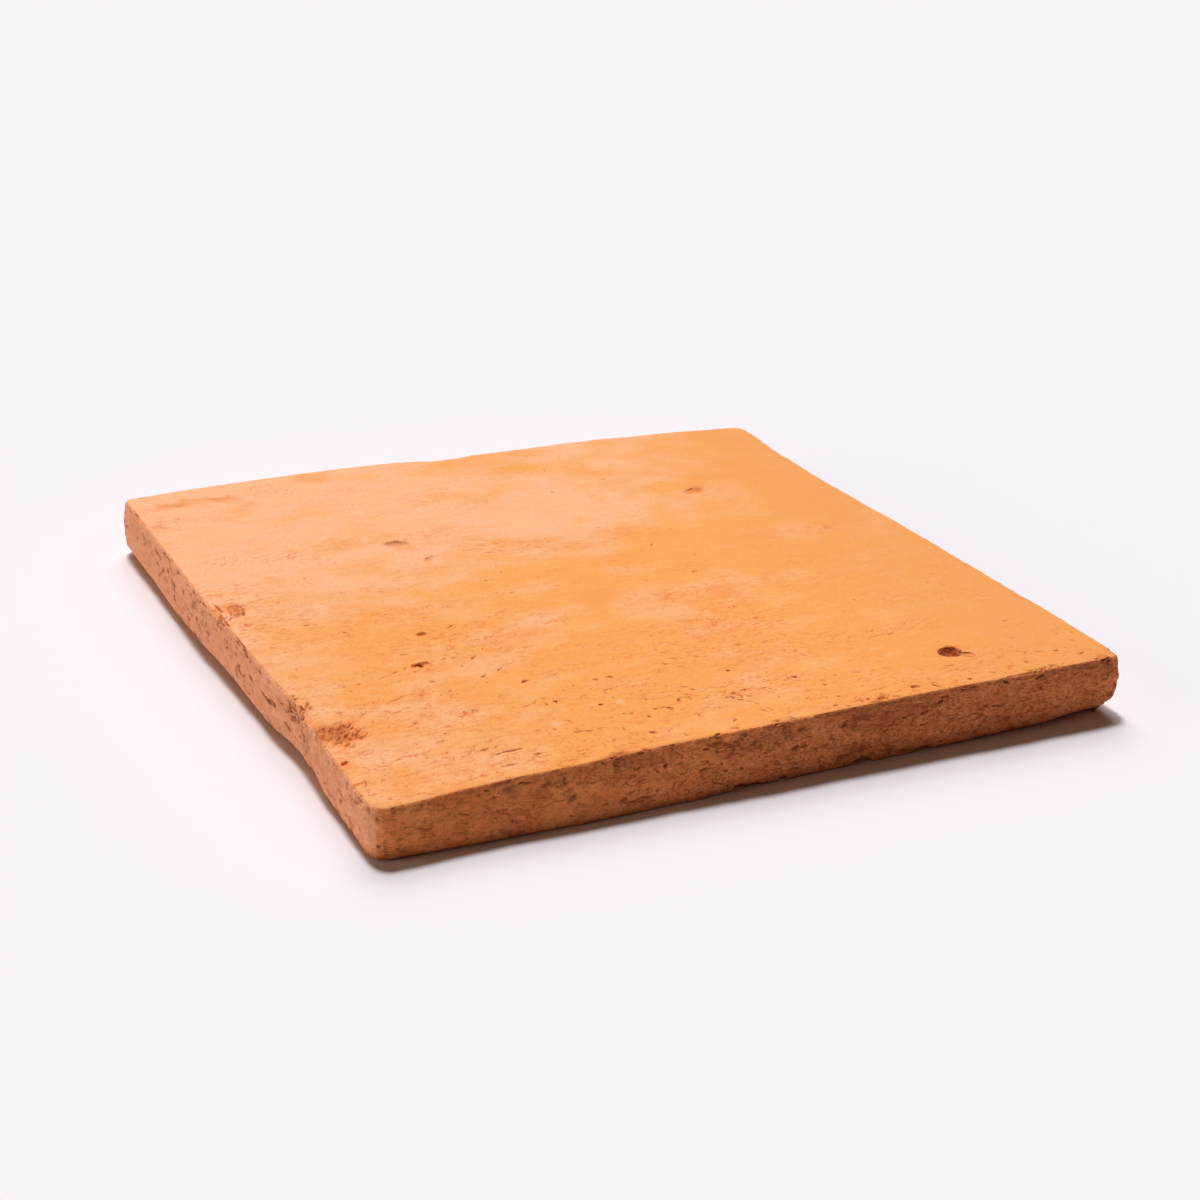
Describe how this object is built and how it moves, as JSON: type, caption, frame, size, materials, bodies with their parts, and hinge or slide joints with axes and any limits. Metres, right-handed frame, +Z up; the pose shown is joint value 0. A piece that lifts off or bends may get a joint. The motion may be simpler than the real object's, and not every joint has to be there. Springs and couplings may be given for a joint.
{
  "type": "terracotta floor tile",
  "caption": "Square handmade terracotta floor tile: a fired clay slab with worn arrises, wandering edges, small pits, chips and a flat underside for bedding.",
  "frame": {"origin": "middle of the flat underside, on the surface that the tile rests on", "axes": "+X along the front edge to the right, +Y from the front edge to the back edge, +Z up through the thickness"},
  "size_m": [0.2067, 0.2098, 0.0165],
  "materials": {
    "fired_clay": "unglazed, matt, slightly rough, with paler and deeper orange patches"
  },
  "bodies": {
    "root": {"terracotta_tile": "fired_clay"}
  },
  "joints": []
}
